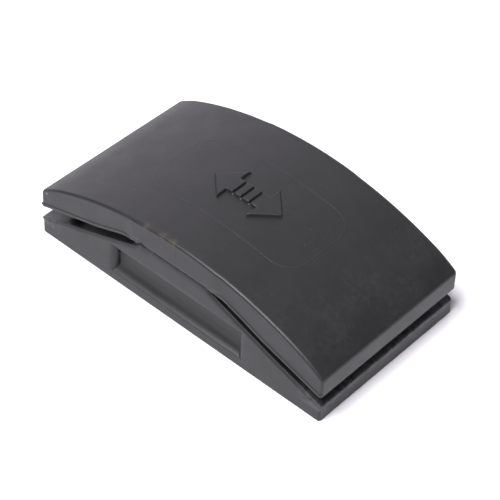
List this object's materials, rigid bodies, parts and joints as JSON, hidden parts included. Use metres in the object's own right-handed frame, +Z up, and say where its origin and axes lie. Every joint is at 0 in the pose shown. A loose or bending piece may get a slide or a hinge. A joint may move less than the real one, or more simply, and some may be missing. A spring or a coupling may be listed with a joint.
{
  "type": "sanding block",
  "caption": "Hand sanding block of charcoal rubber: arched top, finger groove on each long side, and a slanted slot at each end where a flap and hidden pins hold the paper.",
  "frame": {"origin": "centre of the sole", "axes": "+X along the stroke, towards one paper slot; +Y across the block; +Z up from the sole to the arched crown"},
  "size_m": [0.127, 0.0698, 0.0361],
  "materials": {
    "rubber": "satin",
    "pin_steel": "satin"
  },
  "bodies": {
    "block": {"base_block": "rubber", "crown_bridge": "rubber", "living_hinge_left": "rubber", "living_hinge_right": "rubber", "pin_left_front": "pin_steel", "pin_left_middle": "pin_steel", "pin_left_rear": "pin_steel", "pin_right_front": "pin_steel", "pin_right_middle": "pin_steel", "pin_right_rear": "pin_steel"},
    "left_flap": {"flap_left": "rubber"},
    "right_flap": {"flap_right": "rubber"}
  },
  "joints": [
    {"name": "left_flap_lift", "type": "hinge", "parent": "block", "child": "left_flap", "pos_m": [-0.0166, 0, 0.0236], "axis": [0, 1, 0], "range_deg": [-5, 25], "stiffness_Nm_per_rad": 1.6, "springref_deg": 0.26, "deforming": ["living_hinge_left"]},
    {"name": "right_flap_lift", "type": "hinge", "parent": "block", "child": "right_flap", "pos_m": [0.0166, 0, 0.0236], "axis": [0, -1, 0], "range_deg": [-5, 25], "stiffness_Nm_per_rad": 1.6, "springref_deg": 0.26, "deforming": ["living_hinge_right"]}
  ]
}
